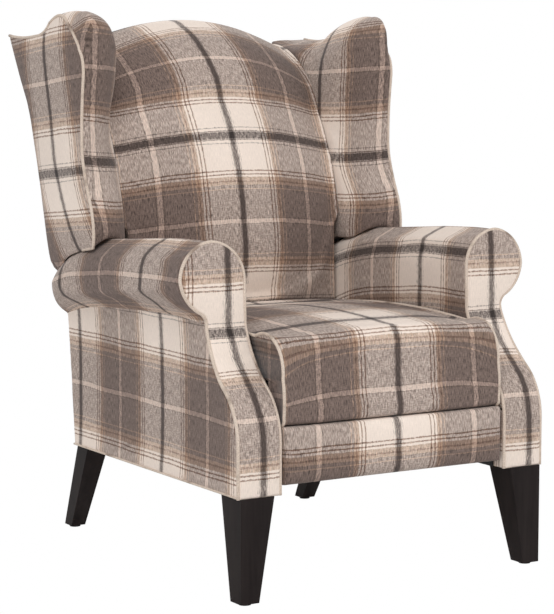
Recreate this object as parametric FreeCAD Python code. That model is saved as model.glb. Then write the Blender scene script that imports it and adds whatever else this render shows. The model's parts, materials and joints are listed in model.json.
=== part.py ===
import FreeCAD, Part
import math
import os

# Units: mm. The chair faces -Y, +Z is up, the floor is Z = 0.
# "depth" is the distance behind the front face of the front legs.
FRONT_Y = -443.0

# Base frame
LEG_HEIGHT = 190.0
GLIDE_THICK = 4.0
GLIDE_RADIUS = 11.0
FRONT_LEG_TOP = 68.0
FRONT_LEG_FOOT = 37.0
FRONT_LEG_OUTER = 327.0
REAR_LEG_TOP = 46.0
REAR_LEG_FOOT = 31.0
REAR_LEG_TOP_CENTRE = (283.0, 662.0)
REAR_LEG_FOOT_CENTRE = (279.0, 761.0)
BOLT_RADIUS = 4.0
BOLT_REACH = 40.0
RAIL_INNER = 245.0
BOARD_INNER = 285.0
BOARD_OUTER = 303.0
RAIL_TOP = 300.0
RAIL_FRONT = 27.0
RAIL_REAR = 688.0
REAR_RAIL_DEPTH = 34.0
REAR_RAIL_TOP = 238.0
STRETCHER_DEPTH = (330.0, 356.0)
STRETCHER_TOP = 228.0
REAR_PANEL_THICK = 12.0
REAR_PANEL_TOP = 420.0

# Arms
ARM_OUTER = 330.0
ARM_ROLL_OUTER = 375.0
ARM_UNDER_ROLL = 492.0
ARM_ROLL_MIDDLE = 562.0
ARM_TOP = 629.0
ARM_TOP_X = 315.0
ARM_REAR = 702.0
FACING_THICK = 20.0
FACING_WAIST = 323.0

# Mechanism planes, outward from the middle of the chair
PLATE_THICK = 3.0
SEAT_PLATE_IN = 213.0
LINK_THICK = 4.0
LINK_B_IN = 219.0
LINK_A_IN = 225.0
BASE_PLATE_IN = 241.0
RUN_CLEAR = 0.05
SLOT_CLEAR = 0.5
PATH_STEPS = 12

# Motion
RECLINE_DEG = 28.0
SEAT_TRAVEL = 75.0
BACK_PIVOT = (665.0, 300.0)
BACK_PIVOT_RADIUS = 6.0
GUIDE_REACH = 150.0
GUIDE_RADIUS = 6.0
TONG_PIVOT = (124.0, 288.0)
TONG_TILT_DEG = 7.0
TONG_SPAN = 90.0
TONG_PITCH = 13.0
TONG_OPEN_DEG = 8.0
TONG_STAGES = 3
LINK_WIDTH = 11.5
STUD_RADIUS = 4.0
SLIDE_Z = 258.0
SLIDE_DEPTHS = (300.0, 560.0)
SLIDE_LENGTH = 30.0
SLIDE_HEIGHT = 12.0
SLIDE_CLEAR = 0.3

# Seat
SEAT_HALF = 235.0
SEAT_APRON_LOW = 314.0
SEAT_BOARD_THICK = 18.0
SEAT_BOARD_Z = (318.0, 385.0)
SEAT_FRONT_BOARD = (60.0, 80.0)
SEAT_REAR_BOARD = (600.0, 620.0)
SPRING_WIRE = 2.0
SPRING_SWING = 28.0
SPRING_SPACING = 29.0
SPRING_ANCHOR = 8.0

# Back, measured along its lean and square to it
BACK_FOOT = (600.0, 420.0)
BACK_LEAN_DEG = 20.5
POST_LENGTH = 560.0
POST_IN = 194.0
POST_HALF = 16.0
BACK_RAIL_THICK = 20.0
BACK_RAIL_WIDTH = 50.0
BACK_MID_RAIL = 250.0
OUTSIDE_BACK_THICK = 10.0
OUTSIDE_LOWER_HALF = 214.0
BACK_HALF = 253.0
BACK_LOWER_HALF = 241.0
ARM_CLEAR_Z = 645.0
WING_GAP = 6.0
WING_OUT = 357.0
WING_BOARD = (312.0, 327.0)
SOFT_INSET = 6.0

# Footrest
FOOT_HALF = 238.5
FOOT_Z = (205.0, 309.0)
FOOT_FRONT = -4.0
FOOT_BOARD = (46.0, 64.0)
FOOT_BOARD_Z = (209.0, 290.0)
FOOT_FLANGE = 20.0


def at(x, depth, z):
    return FreeCAD.Vector(x, FRONT_Y + depth, z)


def box(x0, x1, d0, d1, z0, z1):
    return Part.makeBox(x1 - x0, d1 - d0, z1 - z0, at(x0, d0, z0))


def rod(x0, x1, point, radius):
    return Part.makeCylinder(radius, x1 - x0, at(x0, point[0], point[1]), FreeCAD.Vector(1, 0, 0))


def mirrored(shape):
    return shape.mirror(FreeCAD.Vector(0, 0, 0), FreeCAD.Vector(1, 0, 0))


def outline(place, start, steps):
    # Each step is (end) for a line or (middle, end) for an arc; an open end closes with a line.
    edges = []
    here = start
    for step in steps:
        end = step[-1]
        if len(step) == 1:
            edges.append(Part.makeLine(place(here), place(end)))
        else:
            edges.append(Part.Arc(place(here), place(step[0]), place(end)).toShape())
        here = end
    if here != start:
        edges.append(Part.makeLine(place(here), place(start)))
    return Part.Wire(edges)


def side_plate(x0, x1, points):
    # A flat plate with a straight-sided outline seen from the side.
    wire = Part.makePolygon([at(x0, d, z) for d, z in points] + [at(x0, *points[0])])
    return Part.Face(wire).extrude(FreeCAD.Vector(x1 - x0, 0, 0))


def swept_slot(x0, x1, points, radius):
    # The room that a round pin of this radius takes along a path.
    room = rod(x0, x1, points[0], radius)
    for a, b in zip(points, points[1:]):
        along = (b[0] - a[0], b[1] - a[1])
        length = math.hypot(*along)
        side = (-along[1] / length * radius, along[0] / length * radius)
        corners = [(a[0] + side[0], a[1] + side[1]), (b[0] + side[0], b[1] + side[1]),
                   (b[0] - side[0], b[1] - side[1]), (a[0] - side[0], a[1] - side[1])]
        room = room.fuse([side_plate(x0, x1, corners), rod(x0, x1, b, radius)])
    return room.removeSplitter()


def bar(x0, x1, a, b, width):
    return swept_slot(x0, x1, [a, b], width / 2)


def save(name, shape):
    shape.exportStep("parts/" + name + ".step")


def save_pair(name, shape):
    save(name + "_right", shape)
    save(name + "_left", mirrored(shape))


def both_sides(shapes):
    return Part.makeCompound(shapes + [mirrored(s) for s in shapes])


os.makedirs("parts", exist_ok=True)

# Legs, glides and bolts
front_in = FRONT_LEG_OUTER - FRONT_LEG_TOP
front_foot_in = FRONT_LEG_OUTER - FRONT_LEG_FOOT


def tapered_leg(foot, top):
    # foot and top are (x0, x1, depth0, depth1)
    wires = []
    for (x0, x1, d0, d1), z in ((foot, GLIDE_THICK), (top, LEG_HEIGHT)):
        corners = [at(x0, d0, z), at(x1, d0, z), at(x1, d1, z), at(x0, d1, z)]
        wires.append(Part.makePolygon(corners + corners[:1]))
    return Part.makeLoft(wires, True, True)


def square_about(centre, size):
    half = size / 2
    return (centre[0] - half, centre[0] + half, centre[1] - half, centre[1] + half)


front_leg = tapered_leg(
    (front_foot_in, FRONT_LEG_OUTER, 0.0, FRONT_LEG_FOOT),
    (front_in, FRONT_LEG_OUTER, 0.0, FRONT_LEG_TOP),
)
rear_leg = tapered_leg(
    square_about(REAR_LEG_FOOT_CENTRE, REAR_LEG_FOOT),
    square_about(REAR_LEG_TOP_CENTRE, REAR_LEG_TOP),
)
# The front leg tapers on its inner side, so its bolt stands nearer the outer side of the rail
front_bolt_at = (BOARD_INNER - 2.25 * BOLT_RADIUS, FRONT_LEG_TOP / 2)
# The rear leg rakes back below the rail
rear_bolt_at = ((RAIL_INNER + BOARD_INNER) / 2 + 6.0, REAR_LEG_TOP_CENTRE[1] + REAR_LEG_TOP / 4)
bolts = []
for x, d in (front_bolt_at, rear_bolt_at):
    low = at(x, d, LEG_HEIGHT - BOLT_REACH)
    bolts.append(Part.makeCylinder(BOLT_RADIUS, 2 * BOLT_REACH, low))
front_leg = front_leg.cut(bolts[0])
rear_leg = rear_leg.cut(bolts[1])
glides = []
front_foot_mid = FRONT_LEG_FOOT / 2
for x, d in ((FRONT_LEG_OUTER - front_foot_mid, front_foot_mid), REAR_LEG_FOOT_CENTRE):
    glides.append(Part.makeCylinder(GLIDE_RADIUS, GLIDE_THICK, at(x, d, 0)))
save_pair("leg_front", front_leg)
save_pair("leg_rear", rear_leg)
save("leg_bolts", both_sides(bolts))
save("foot_glides", both_sides(glides))

# Lazy-tong geometry: upper and lower pivot rows along a tilted axis
tilt = math.radians(TONG_TILT_DEG)
tong_axis = (-math.cos(tilt), math.sin(tilt))
tong_up = (math.sin(tilt), math.cos(tilt))
tong_closed = math.acos(TONG_PITCH / TONG_SPAN)
tong_swing = tong_closed - math.radians(TONG_OPEN_DEG)


def tong_upper(i, angle=tong_closed):
    run = i * TONG_SPAN * math.cos(angle)
    return (TONG_PIVOT[0] + run * tong_axis[0], TONG_PIVOT[1] + run * tong_axis[1])


def tong_lower(i, angle=tong_closed):
    top = tong_upper(i, angle)
    drop = TONG_SPAN * math.sin(angle)
    return (top[0] - drop * tong_up[0], top[1] - drop * tong_up[1])


def middle(a, b):
    return ((a[0] + b[0]) / 2, (a[1] + b[1]) / 2)


def travel(step):
    # Share of the whole motion at this step
    return step / PATH_STEPS


# Path of the first long stud, seen from the seat and from the base
stud_in_seat = []
stud_in_base = []
for k in range(PATH_STEPS + 1):
    angle = tong_closed - tong_swing * travel(k)
    d, z = tong_lower(0, angle)
    stud_in_seat.append((d, z))
    stud_in_base.append((d - SEAT_TRAVEL * travel(k), z))

# Guide pin of the back: fixed in the base, running in a slot of the back bracket
half_recline = math.radians(RECLINE_DEG) / 2
guide_at = (BACK_PIVOT[0] - GUIDE_REACH * math.sin(half_recline),
            BACK_PIVOT[1] + GUIDE_REACH * math.cos(half_recline))
guide_in_back = []
for k in range(PATH_STEPS + 1):
    turn = math.radians(RECLINE_DEG) * travel(k)
    d = guide_at[0] - BACK_PIVOT[0] + SEAT_TRAVEL * travel(k)
    z = guide_at[1] - BACK_PIVOT[1]
    guide_in_back.append((BACK_PIVOT[0] + d * math.cos(turn) - z * math.sin(turn),
                          BACK_PIVOT[1] + d * math.sin(turn) + z * math.cos(turn)))

# Base frame boards
side_rail = box(RAIL_INNER, BOARD_INNER, RAIL_FRONT, RAIL_REAR, LEG_HEIGHT, RAIL_TOP)
rear_rail_front = RAIL_REAR - REAR_RAIL_DEPTH
rear_rail = box(-RAIL_INNER, RAIL_INNER, rear_rail_front, RAIL_REAR, LEG_HEIGHT, REAR_RAIL_TOP)
stretcher = box(-RAIL_INNER, RAIL_INNER, *STRETCHER_DEPTH, LEG_HEIGHT, STRETCHER_TOP)
rear_panel = box(-RAIL_INNER, RAIL_INNER, RAIL_REAR, RAIL_REAR + REAR_PANEL_THICK, LEG_HEIGHT, REAR_PANEL_TOP)

# Arm section, looking along the arm: from the outer side over the roll to the inner side
def arm_wire(depth, drop, inset):
    # drop lowers the top of the roll, inset draws the roll in
    def place(p):
        return at(p[0], depth, p[1])
    top = ARM_TOP - drop
    roll = ARM_ROLL_MIDDLE - 0.7 * drop
    under = ARM_UNDER_ROLL - 0.6 * drop
    outer = ARM_ROLL_OUTER - inset
    side = ARM_OUTER - inset / 6
    inner = RAIL_INNER + inset / 4
    return outline(place, (side, LEG_HEIGHT), [
        ((side, under),),
        ((outer - 9, (under + roll) / 2 - 6), (outer, roll)),
        ((outer - 18, top - 22), (ARM_TOP_X, top)),
        ((inner + 22, top - 19), (inner, roll)),
        ((inner, LEG_HEIGHT),),
    ])


arm_stations = [
    (-30.0, 0.0, 0.0),
    (240.0, 0.0, 0.0),
    (430.0, 11.0, 0.0),
    (540.0, 23.0, 0.0),
    (605.0, 37.0, 1.0),
    (655.0, 54.0, 5.0),
    (686.0, 68.0, 14.0),
    (ARM_REAR, 82.0, 26.0),
]
arm_whole = Part.makeLoft([arm_wire(*s) for s in arm_stations], True, True)


def facing_wire(depth):
    # As the front of the arm, drawn in to a waist under the scroll.
    def place(p):
        return at(p[0], depth, p[1])
    return outline(place, (ARM_OUTER, LEG_HEIGHT), [
        ((ARM_OUTER, 390.0),),
        ((FACING_WAIST + 3, 448.0), (FACING_WAIST, ARM_UNDER_ROLL)),
        ((ARM_ROLL_OUTER - 17, 522.0), (ARM_ROLL_OUTER, ARM_ROLL_MIDDLE)),
        ((ARM_ROLL_OUTER - 18, ARM_TOP - 22), (ARM_TOP_X, ARM_TOP)),
        ((RAIL_INNER + 22, ARM_TOP - 19), (RAIL_INNER, ARM_ROLL_MIDDLE)),
        ((RAIL_INNER, LEG_HEIGHT),),
    ])


facing_whole = Part.Face(facing_wire(-30.0)).extrude(FreeCAD.Vector(0, 300, 0))

# Swept front of the arm, seen from the side
SWEEP = [(0.0, 285.0), (7.0, 322.0), (40.0, 370.0), (94.0, 426.0), (121.0, 478.0), (126.0, 640.0)]


def sweep_solid(offset):
    # Everything behind the swept front line moved back by offset.
    def place(p):
        return at(RAIL_INNER - 10, p[0] + offset if p[0] < ARM_REAR / 2 else p[0], p[1])
    p = SWEEP
    rear = [(ARM_REAR + 8, p[5][1]), (ARM_REAR + 8, 500.0), (688.0, 453.0), (656.0, LEG_HEIGHT - 10)]
    wire = outline(place, (p[0][0], LEG_HEIGHT - 10), [
        (p[0],),
        (p[1], p[2]),
        (p[3], p[4]),
        (p[5],),
    ] + [(q,) for q in rear])
    return Part.Face(wire).extrude(FreeCAD.Vector(ARM_ROLL_OUTER - RAIL_INNER + 20, 0, 0))


arm_behind_facing = arm_whole.common(sweep_solid(FACING_THICK))
arm_facing = facing_whole.common(sweep_solid(0.0)).cut(sweep_solid(FACING_THICK))
arm_board = side_plate(BOARD_INNER, BOARD_OUTER, [
    (RAIL_FRONT, LEG_HEIGHT), (RAIL_FRONT, 290.0), (125.0, 420.0), (148.0, 470.0), (160.0, 560.0),
    (580.0, 540.0), (644.0, 480.0), (640.0, LEG_HEIGHT),
])
guide_pin = rod(LINK_B_IN + RUN_CLEAR, BOARD_OUTER, guide_at, GUIDE_RADIUS)
rail_room = box(RAIL_INNER - 5, BOARD_INNER, -30.0, ARM_REAR + 30, LEG_HEIGHT - 5, RAIL_TOP)
arm_pad = arm_behind_facing.cut(rail_room).cut(arm_board).cut(guide_pin)
arm_board = arm_board.cut(guide_pin)

# Base plate with a cam slot for the first stud and two slide slots
plate_low = stud_in_base[0][1] - 10
plate_front = stud_in_base[-1][0] - 14
plate_top = RAIL_TOP - 4
base_plate = side_plate(BASE_PLATE_IN, RAIL_INNER, [
    (plate_front, plate_low), (plate_front + 120, plate_low), (plate_front + 180, STRETCHER_TOP + 4),
    (600.0, STRETCHER_TOP + 4), (600.0, plate_top), (plate_front, plate_top),
])
base_plate = base_plate.cut(
    swept_slot(BASE_PLATE_IN - 1, RAIL_INNER + 1, stud_in_base, STUD_RADIUS + SLOT_CLEAR)
)
slide_blocks = []
half_block = SLIDE_LENGTH / 2
for d in SLIDE_DEPTHS:
    base_plate = base_plate.cut(box(
        BASE_PLATE_IN - 1, RAIL_INNER + 1,
        d - half_block - SEAT_TRAVEL - 1, d + half_block + 1,
        SLIDE_Z - SLIDE_HEIGHT / 2 - SLIDE_CLEAR, SLIDE_Z + SLIDE_HEIGHT / 2 + SLIDE_CLEAR,
    ))
    slide_blocks.append(box(
        SEAT_PLATE_IN + PLATE_THICK, RAIL_INNER - SLOT_CLEAR,
        d - half_block, d + half_block,
        SLIDE_Z - SLIDE_HEIGHT / 2, SLIDE_Z + SLIDE_HEIGHT / 2,
    ))

# Screws that hold the base plates to the rails
SCREW_RADIUS = 2.5
SCREW_HEAD = (5.0, 2.5)
screws = []
for spot in ((100.0, 284.0), (180.0, 284.0), (390.0, 284.0), (590.0, 284.0), (380.0, 240.0)):
    head = rod(BASE_PLATE_IN - SCREW_HEAD[1], BASE_PLATE_IN, spot, SCREW_HEAD[0])
    screws.append(head.fuse(rod(BASE_PLATE_IN, RAIL_INNER + 25, spot, SCREW_RADIUS)).removeSplitter())
for screw in screws:
    base_plate = base_plate.cut(screw)
    side_rail = side_rail.cut(screw)
for bolt in bolts:
    side_rail = side_rail.cut(bolt)

save_pair("side_rail", side_rail)
save("rear_rail", rear_rail)
save("front_stretcher", stretcher)
save("rear_panel", rear_panel)
save_pair("arm_board", arm_board)
save_pair("arm_pad", arm_pad)
save_pair("arm_facing", arm_facing)
save_pair("base_plate", base_plate)
save("plate_screws", both_sides(screws))
save("guide_pins", both_sides([guide_pin]))

# Seat plate with the tong pivot, the stud slot and the back pivot
seat_plate_out = SEAT_PLATE_IN + PLATE_THICK
seat_plate_top = SEAT_BOARD_Z[0] + 27
pivot_d, pivot_z = BACK_PIVOT
tong_d, tong_z = TONG_PIVOT
seat_plate = side_plate(SEAT_PLATE_IN, seat_plate_out, [
    (tong_d - 26, tong_z - 100), (tong_d + 16, tong_z - 100), (tong_d + 66, STRETCHER_TOP + 12),
    (pivot_d - 25, STRETCHER_TOP + 12), (pivot_d + 20, pivot_z - 10), (pivot_d + 15, pivot_z + 20),
    (pivot_d - 15, pivot_z + 30), (SEAT_REAR_BOARD[0], seat_plate_top), (tong_d - 4, seat_plate_top),
    (tong_d - 26, tong_z + 22),
])
seat_plate = seat_plate.cut(
    swept_slot(SEAT_PLATE_IN - 1, seat_plate_out + 1, stud_in_seat, STUD_RADIUS + SLOT_CLEAR)
)
seat_plate = seat_plate.cut(rod(SEAT_PLATE_IN - 1, seat_plate_out + 1, TONG_PIVOT, STUD_RADIUS + RUN_CLEAR))
seat_plate = seat_plate.cut(
    rod(SEAT_PLATE_IN - 1, seat_plate_out + 1, BACK_PIVOT, BACK_PIVOT_RADIUS + RUN_CLEAR)
)

# Seat boards and springs
board_in = SEAT_PLATE_IN - SEAT_BOARD_THICK
side_board = box(board_in, SEAT_PLATE_IN, SEAT_FRONT_BOARD[0], SEAT_REAR_BOARD[1], *SEAT_BOARD_Z)
front_board = box(-board_in, board_in, *SEAT_FRONT_BOARD, *SEAT_BOARD_Z)
rear_board = box(-board_in, board_in, *SEAT_REAR_BOARD, *SEAT_BOARD_Z)


def zigzag(place, start, end, swing):
    # A sinuous wire spring from start to end, with straight ends let into the boards.
    runs = round((end - start) / SPRING_SPACING)
    bend = (end - start) / (2 * runs)
    corner = bend * (1 - math.sqrt(0.5))
    reach = swing - bend
    edges = [Part.makeLine(place(0.0, start - SPRING_ANCHOR), place(0.0, start))]
    edges.append(Part.Arc(place(0.0, start), place(corner, start + bend - corner),
                          place(bend, start + bend)).toShape())
    x = bend
    way = 1
    for k in range(runs - 1):
        row = start + (2 * k + 1) * bend
        edges.append(Part.makeLine(place(x, row), place(way * reach, row)))
        edges.append(Part.Arc(place(way * reach, row), place(way * swing, row + bend),
                              place(way * reach, row + 2 * bend)).toShape())
        x = way * reach
        way = -way
    row = end - bend
    edges.append(Part.makeLine(place(x, row), place(-way * bend, row)))
    edges.append(Part.Arc(place(-way * bend, row), place(-way * corner, end - bend + corner),
                          place(0.0, end)).toShape())
    edges.append(Part.makeLine(place(0.0, end), place(0.0, end + SPRING_ANCHOR)))
    first = place(0.0, start - SPRING_ANCHOR)
    circle = Part.Circle(first, place(0.0, start) - first, SPRING_WIRE)
    return Part.Wire(edges).makePipeShell([Part.Wire([circle.toShape()])], True, False)


seat_spring_z = SEAT_BOARD_Z[1] - 15.0
seat_springs = []
for x in (-136.0, -68.0, 0.0, 68.0, 136.0):
    seat_springs.append(zigzag(
        lambda off, d, x=x: at(x + off, d, seat_spring_z),
        SEAT_FRONT_BOARD[1], SEAT_REAR_BOARD[0], SPRING_SWING,
    ))
for spring in seat_springs:
    front_board = front_board.cut(spring)
    rear_board = rear_board.cut(spring)

# Seat cushion: a padded top with an apron over the front board
def seat_wire(x, crown, draw):
    def place(p):
        return at(x, p[0], p[1])
    low = SEAT_BOARD_Z[1]
    front = 4.0 + draw
    return outline(place, (front + 3, SEAT_APRON_LOW), [
        ((front, 365.0), (front + 2, 424.0 + crown / 2)),
        ((front + 11, 450.0 + crown), (front + 44, 462.0 + crown)),
        ((300.0, 470.0 + 1.1 * crown), (552.0, 457.0 + crown / 2)),
        ((570.0, 440.0),),
        ((570.0, low),),
        ((SEAT_FRONT_BOARD[0], low),),
        ((SEAT_FRONT_BOARD[0], SEAT_BOARD_Z[0]),),
    ])


seat_stations = [(-SEAT_HALF, 0.0, 5.0), (-190.0, 11.0, 0.0), (0.0, 20.0, -2.0), (190.0, 11.0, 0.0),
                 (SEAT_HALF, 0.0, 5.0)]
seat_cushion = Part.makeLoft([seat_wire(*s) for s in seat_stations], True, False)

save_pair("seat_plate", seat_plate)
save_pair("seat_side_board", side_board)
save("seat_front_board", front_board)
save("seat_rear_board", rear_board)
save("seat_springs", Part.makeCompound(seat_springs))
save("seat_cushion", seat_cushion)
save("slide_blocks", both_sides(slide_blocks))

# Back frame: placed by distance along the lean (up) and square to it (rear)
lean = math.radians(BACK_LEAN_DEG)
wing_in = BACK_HALF + WING_GAP


def on_back(up, rear):
    return (BACK_FOOT[0] + up * math.sin(lean) + rear * math.cos(lean),
            BACK_FOOT[1] + up * math.cos(lean) - rear * math.sin(lean))


def back_board(x0, x1, up0, up1, rear0, rear1):
    return side_plate(x0, x1, [on_back(up0, rear0), on_back(up1, rear0),
                               on_back(up1, rear1), on_back(up0, rear1)])


post = back_board(POST_IN, LINK_B_IN, 0.0, POST_LENGTH, -POST_HALF, POST_HALF)
rail_rear = POST_HALF + BACK_RAIL_THICK
top_rail = back_board(-WING_BOARD[0], WING_BOARD[0], POST_LENGTH - BACK_RAIL_WIDTH, POST_LENGTH,
                      POST_HALF, rail_rear)
mid_rail = back_board(-WING_BOARD[0], WING_BOARD[0], BACK_MID_RAIL, BACK_MID_RAIL + BACK_RAIL_WIDTH,
                      POST_HALF, rail_rear)
bottom_rail = back_board(-LINK_B_IN, LINK_B_IN, 5.0, 5.0 + BACK_RAIL_WIDTH, POST_HALF, rail_rear)

# Back springs run between blocks of the bottom and top rails
back_springs = []
spring_rear = POST_HALF + BACK_RAIL_THICK / 2
for x in (-132.0, -44.0, 44.0, 132.0):
    for low, high in ((5.0 + BACK_RAIL_WIDTH, BACK_MID_RAIL),
                      (BACK_MID_RAIL + BACK_RAIL_WIDTH, POST_LENGTH - BACK_RAIL_WIDTH)):
        back_springs.append(zigzag(
            lambda off, up, x=x: at(x + off, *on_back(up, spring_rear)), low, high, SPRING_SWING,
        ))
for spring in back_springs:
    top_rail = top_rail.cut(spring)
    mid_rail = mid_rail.cut(spring)
    bottom_rail = bottom_rail.cut(spring)

# Outside back between the wings, narrower between the arms
out_far = rail_rear + OUTSIDE_BACK_THICK
outside_back = back_board(-BACK_HALF, BACK_HALF, BACK_MID_RAIL, POST_LENGTH, rail_rear, out_far)
outside_back = outside_back.fuse(
    back_board(-OUTSIDE_LOWER_HALF, OUTSIDE_LOWER_HALF, 5.0, BACK_MID_RAIL, rail_rear, out_far)
).removeSplitter()

# Back bracket with the pivot and the guide slot
bracket = side_plate(LINK_B_IN, LINK_B_IN + LINK_THICK, [
    (BACK_PIVOT[0] + 20, BACK_PIVOT[1] - 6), (BACK_PIVOT[0] + 8, BACK_PIVOT[1] - 20),
    (BACK_PIVOT[0] - 14, BACK_PIVOT[1] - 18), (BACK_PIVOT[0] - 26, BACK_PIVOT[1]),
    on_back(0.0, -POST_HALF), on_back(170.0, -POST_HALF), on_back(170.0, POST_HALF),
    on_back(60.0, rail_rear), (BACK_PIVOT[0] - 8, 430.0),
])
bracket = bracket.cut(
    swept_slot(LINK_B_IN - 1, LINK_B_IN + LINK_THICK + 1, guide_in_back, GUIDE_RADIUS + SLOT_CLEAR)
)
pivot_pin = rod(SEAT_PLATE_IN, LINK_B_IN + LINK_THICK, BACK_PIVOT, BACK_PIVOT_RADIUS)
bracket = bracket.cut(pivot_pin)
pivot_head = rod(LINK_B_IN + LINK_THICK, LINK_B_IN + 2 * LINK_THICK, BACK_PIVOT, 2 * BACK_PIVOT_RADIUS)
pivot_pin = pivot_pin.fuse(pivot_head).removeSplitter()

# Back cushion: side profile from the seat over the top, fuller in the middle of its width
cushion_rear = -POST_HALF - 1.0
over_post = POST_LENGTH + 3.0


def back_wire(x, full):
    # full runs from 0 at the side seam to 1 at the middle
    def place(p):
        return at(x, p[0], p[1])
    def mix(edge, mid):
        return (edge[0] + full * (mid[0] - edge[0]), edge[1] + full * (mid[1] - edge[1]))
    return outline(place, on_back(45.0, cushion_rear), [
        (mix((588.0, 478.0), (542.0, 474.0)),),
        (mix((583.0, 520.0), (520.0, 540.0)), mix((587.0, 620.0), (526.0, 640.0))),
        (mix((612.0, 735.0), (556.0, 770.0)), mix((668.0, 848.0), (618.0, 880.0))),
        (mix((701.0, 912.0), (662.0, 980.0)), mix((752.0, 957.0), (742.0, 1034.0))),
        (mix((808.0, 985.0), (806.0, 1046.0)), mix((862.0, 992.0), (868.0, 1012.0))),
        (mix((868.0, 976.0), (884.0, 980.0)),),
        (on_back(over_post, out_far + 20.0),),
        (on_back(over_post, cushion_rear),),
    ])


back_stations = [(BACK_HALF * k, 1 - k * k) for k in (-1.0, -0.8, -0.45, 0.0, 0.45, 0.8, 1.0)]
back_cushion = Part.makeLoft([back_wire(*s) for s in back_stations], True, False)
for side in (-1, 1):
    edges = sorted((side * BACK_LOWER_HALF, side * (BACK_HALF + 20)))
    back_cushion = back_cushion.cut(box(edges[0], edges[1], 480.0, 720.0, 440.0, ARM_CLEAR_Z))

# Wing: side outline drawn in towards its inner and outer faces
WING_MIDDLE = (690.0, 840.0)


def wing_wire(x, inset):
    def place(p):
        away = (p[0] - WING_MIDDLE[0], p[1] - WING_MIDDLE[1])
        keep = 1 - inset / math.hypot(*away)
        return at(x, WING_MIDDLE[0] + keep * away[0], WING_MIDDLE[1] + keep * away[1])
    return outline(place, (508.0, 624.0), [
        ((506.0, 658.0), (521.0, 694.0)),
        ((546.0, 745.0), (552.0, 800.0)),
        ((549.0, 868.0), (541.0, 930.0)),
        ((540.0, 965.0), (543.0, 996.0)),
        ((555.0, 1032.0), (588.0, 1044.0)),
        ((645.0, 1045.0), (695.0, 1028.0)),
        ((722.0, 1010.0), (760.0, 1002.0)),
        ((830.0, 999.0), (889.0, 1004.0)),
        ((862.0, 944.0), (825.0, 870.0)),
        ((790.0, 760.0), (750.0, 655.0)),
        ((706.0, 584.0),),
        ((684.0, 572.0),),
        ((600.0, 608.0),),
    ])


wing_stations = [(wing_in, 34.0), (wing_in + 30.0, 15.0), (WING_OUT - 28.0, 3.0), (WING_OUT - 9.0, 0.0),
                 (WING_OUT, SOFT_INSET)]
wing = Part.makeLoft([wing_wire(*s) for s in wing_stations], True, False)
wing_board = side_plate(*WING_BOARD, [
    on_back(225.0, -90.0), on_back(225.0, rail_rear), on_back(POST_LENGTH, rail_rear),
    on_back(POST_LENGTH, -150.0), on_back(400.0, -130.0),
])
wing = wing.cut(wing_board).cut(top_rail).cut(mid_rail)

save_pair("back_post", post)
save("back_top_rail", top_rail)
save("back_mid_rail", mid_rail)
save("back_bottom_rail", bottom_rail)
save("back_springs", Part.makeCompound(back_springs))
save("outside_back", outside_back)
save_pair("back_bracket", bracket)
save("back_pivot_pins", both_sides([pivot_pin]))
save("back_cushion", back_cushion)
save_pair("wing", wing)
save_pair("wing_board", wing_board)

# Lazy tongs: outer bars carry studs that run in holes of the inner bars
link_b_out = LINK_B_IN + LINK_THICK
link_a_out = LINK_A_IN + LINK_THICK


def inner_bar(a, b, holes):
    link = bar(LINK_B_IN, link_b_out, a, b, LINK_WIDTH)
    for hole in holes:
        link = link.cut(rod(LINK_B_IN - 1, link_b_out + 1, hole, STUD_RADIUS + RUN_CLEAR))
    return link


def outer_bar(a, b, studs):
    link = bar(LINK_A_IN, link_a_out, a, b, LINK_WIDTH)
    return link.fuse([rod(LINK_B_IN, LINK_A_IN, s, STUD_RADIUS) for s in studs]).removeSplitter()


for i in range(1, TONG_STAGES + 1):
    last = i == TONG_STAGES
    cross = middle(tong_upper(i - 1), tong_lower(i))
    if last:
        tong_a = outer_bar(tong_lower(i - 1), cross, [tong_lower(i - 1), cross])
    elif i == 1:
        tong_a = outer_bar(tong_lower(0), tong_upper(1), [cross, tong_upper(1)])
        long_stud = rod(SEAT_PLATE_IN, RAIL_INNER - SLOT_CLEAR, tong_lower(0), STUD_RADIUS)
        tong_a = tong_a.fuse(long_stud).removeSplitter()
    else:
        tong_a = outer_bar(tong_lower(i - 1), tong_upper(i), [tong_lower(i - 1), cross, tong_upper(i)])
    save_pair("tong_outer_%d" % i, tong_a)
    if last:
        break
    if i == 1:
        tong_b = inner_bar(tong_upper(0), tong_lower(1), [cross, tong_lower(1)])
        seat_stud = rod(SEAT_PLATE_IN, LINK_B_IN, tong_upper(0), STUD_RADIUS)
        tong_b = tong_b.fuse(seat_stud).removeSplitter()
    else:
        tong_b = inner_bar(tong_upper(i - 1), tong_lower(i), [tong_upper(i - 1), cross, tong_lower(i)])
    save_pair("tong_inner_%d" % i, tong_b)

# Footrest arm: the last inner bar with a flange on the board
foot_top = tong_upper(TONG_STAGES - 1)
foot_low = tong_lower(TONG_STAGES)
foot_cross = middle(foot_top, foot_low)
lug_z = (222.0, 278.0)
foot_arm = bar(LINK_B_IN, link_b_out, foot_top, foot_low, LINK_WIDTH)
foot_arm = foot_arm.fuse(side_plate(LINK_B_IN, link_b_out, [
    (FOOT_BOARD[1], lug_z[0]), (foot_low[0] + 4, lug_z[0]), (foot_top[0] - 3, lug_z[1]),
    (FOOT_BOARD[1], lug_z[1]),
]))
foot_arm = foot_arm.fuse(box(
    LINK_B_IN - FOOT_FLANGE, link_b_out, FOOT_BOARD[1], FOOT_BOARD[1] + PLATE_THICK, *lug_z,
)).removeSplitter()
for hole in (foot_top, foot_cross):
    foot_arm = foot_arm.cut(rod(LINK_B_IN - 1, link_b_out + 1, hole, STUD_RADIUS + RUN_CLEAR))
foot_board = box(-FOOT_HALF + 6, FOOT_HALF - 6, *FOOT_BOARD, *FOOT_BOARD_Z)


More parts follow.
